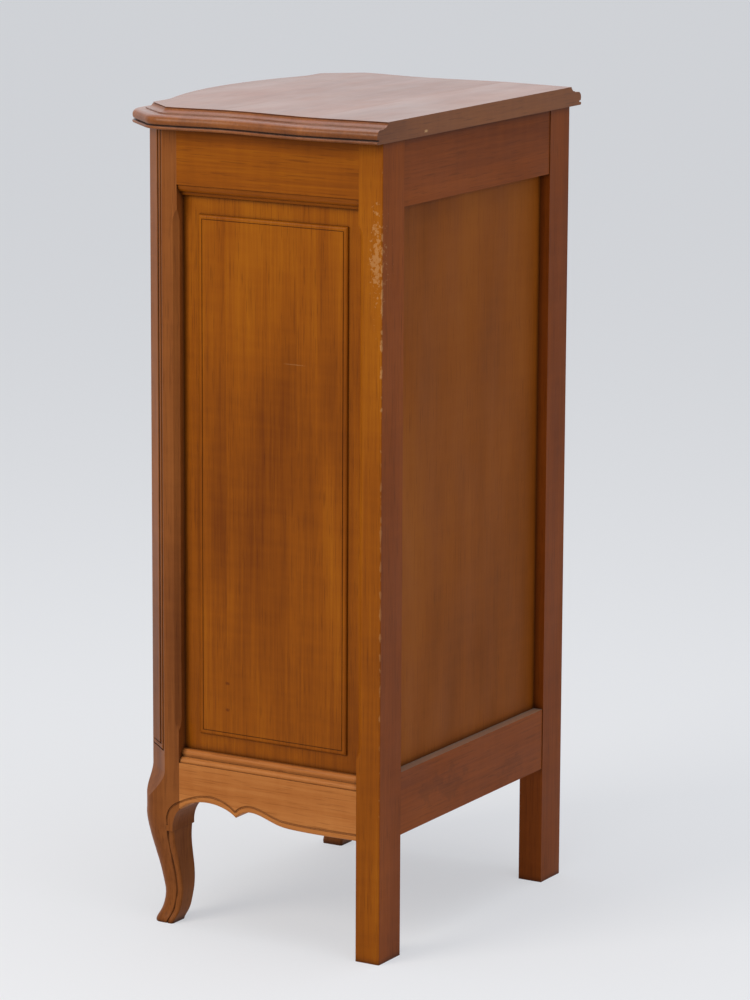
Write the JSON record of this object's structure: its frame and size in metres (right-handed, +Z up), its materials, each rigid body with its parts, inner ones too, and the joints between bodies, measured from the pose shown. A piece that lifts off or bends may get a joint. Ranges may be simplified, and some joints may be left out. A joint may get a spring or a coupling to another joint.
{
  "type": "chest of drawers",
  "caption": "Tall narrow chest of bow-fronted drawers with a moulded top, raised side panels, scalloped aprons, cabriole front legs and straight rear legs.",
  "frame": {"origin": "on the floor under the middle of the top", "axes": "+X to the right as seen from the front, -Y out of the front, +Y towards the wall, +Z up"},
  "size_m": [0.5616, 0.4347, 1.1085],
  "materials": {
    "cherry": "satin waxed",
    "back_ply": "dull",
    "drawer_wood": "bare",
    "brass": "aged satin"
  },
  "bodies": {
    "case": {"top": "cherry", "front_post_right": "cherry", "front_post_left": "cherry", "rear_post_right": "cherry", "rear_post_left": "cherry", "side_top_rail_right": "cherry", "side_top_rail_left": "cherry", "side_apron_right": "cherry", "side_apron_left": "cherry", "side_panel_right": "cherry", "side_panel_left": "cherry", "back_top_rail": "cherry", "back_low_rail": "cherry", "back_panel": "back_ply", "front_top_rail": "cherry", "front_apron": "cherry", "front_rail_1": "cherry", "front_rail_2": "cherry", "front_rail_3": "cherry", "front_rail_4": "cherry", "runners_right": "drawer_wood", "runners_left": "drawer_wood"},
    "drawer_1": {"drawer_1_front": "cherry", "drawer_1_sides": "drawer_wood", "drawer_1_back": "drawer_wood", "drawer_1_bottom": "drawer_wood", "drawer_1_brasses": "brass"},
    "bail_1_left": {"drawer_1_bail_left": "brass"},
    "bail_1_right": {"drawer_1_bail_right": "brass"},
    "drawer_2": {"drawer_2_front": "cherry", "drawer_2_sides": "drawer_wood", "drawer_2_back": "drawer_wood", "drawer_2_bottom": "drawer_wood", "drawer_2_brasses": "brass"},
    "bail_2_left": {"drawer_2_bail_left": "brass"},
    "bail_2_right": {"drawer_2_bail_right": "brass"},
    "drawer_3": {"drawer_3_front": "cherry", "drawer_3_sides": "drawer_wood", "drawer_3_back": "drawer_wood", "drawer_3_bottom": "drawer_wood", "drawer_3_brasses": "brass"},
    "bail_3_left": {"drawer_3_bail_left": "brass"},
    "bail_3_right": {"drawer_3_bail_right": "brass"},
    "drawer_4": {"drawer_4_front": "cherry", "drawer_4_sides": "drawer_wood", "drawer_4_back": "drawer_wood", "drawer_4_bottom": "drawer_wood", "drawer_4_brasses": "brass"},
    "bail_4_left": {"drawer_4_bail_left": "brass"},
    "bail_4_right": {"drawer_4_bail_right": "brass"},
    "drawer_5": {"drawer_5_front": "cherry", "drawer_5_sides": "drawer_wood", "drawer_5_back": "drawer_wood", "drawer_5_bottom": "drawer_wood", "drawer_5_brasses": "brass"},
    "bail_5_left": {"drawer_5_bail_left": "brass"},
    "bail_5_right": {"drawer_5_bail_right": "brass"}
  },
  "joints": [
    {"name": "drawer_1_slide", "type": "slide", "parent": "case", "child": "drawer_1", "axis": [0, -1, 0], "range_m": [0, 0.24]},
    {"name": "bail_1_left_swing", "type": "hinge", "parent": "drawer_1", "child": "bail_1_left", "pos_m": [-0.09746, -0.1972, 0.33378], "axis": [-0.982, 0.1891, 0], "range_deg": [0, 85]},
    {"name": "bail_1_right_swing", "type": "hinge", "parent": "drawer_1", "child": "bail_1_right", "pos_m": [0.09746, -0.1972, 0.33378], "axis": [-0.982, -0.1891, 0], "range_deg": [0, 85]},
    {"name": "drawer_2_slide", "type": "slide", "parent": "case", "child": "drawer_2", "axis": [0, -1, 0], "range_m": [0, 0.24]},
    {"name": "bail_2_left_swing", "type": "hinge", "parent": "drawer_2", "child": "bail_2_left", "pos_m": [-0.09746, -0.1972, 0.49918], "axis": [-0.982, 0.1891, 0], "range_deg": [0, 85]},
    {"name": "bail_2_right_swing", "type": "hinge", "parent": "drawer_2", "child": "bail_2_right", "pos_m": [0.09746, -0.1972, 0.49918], "axis": [-0.982, -0.1891, 0], "range_deg": [0, 85]},
    {"name": "drawer_3_slide", "type": "slide", "parent": "case", "child": "drawer_3", "axis": [0, -1, 0], "range_m": [0, 0.24]},
    {"name": "bail_3_left_swing", "type": "hinge", "parent": "drawer_3", "child": "bail_3_left", "pos_m": [-0.09746, -0.1972, 0.66458], "axis": [-0.982, 0.1891, 0], "range_deg": [0, 85]},
    {"name": "bail_3_right_swing", "type": "hinge", "parent": "drawer_3", "child": "bail_3_right", "pos_m": [0.09746, -0.1972, 0.66458], "axis": [-0.982, -0.1891, 0], "range_deg": [0, 85]},
    {"name": "drawer_4_slide", "type": "slide", "parent": "case", "child": "drawer_4", "axis": [0, -1, 0], "range_m": [0, 0.24]},
    {"name": "bail_4_left_swing", "type": "hinge", "parent": "drawer_4", "child": "bail_4_left", "pos_m": [-0.09746, -0.1972, 0.82998], "axis": [-0.982, 0.1891, 0], "range_deg": [0, 85]},
    {"name": "bail_4_right_swing", "type": "hinge", "parent": "drawer_4", "child": "bail_4_right", "pos_m": [0.09746, -0.1972, 0.82998], "axis": [-0.982, -0.1891, 0], "range_deg": [0, 85]},
    {"name": "drawer_5_slide", "type": "slide", "parent": "case", "child": "drawer_5", "axis": [0, -1, 0], "range_m": [0, 0.24]},
    {"name": "bail_5_left_swing", "type": "hinge", "parent": "drawer_5", "child": "bail_5_left", "pos_m": [-0.09746, -0.1972, 0.99538], "axis": [-0.982, 0.1891, 0], "range_deg": [0, 85]},
    {"name": "bail_5_right_swing", "type": "hinge", "parent": "drawer_5", "child": "bail_5_right", "pos_m": [0.09746, -0.1972, 0.99538], "axis": [-0.982, -0.1891, 0], "range_deg": [0, 85]}
  ]
}
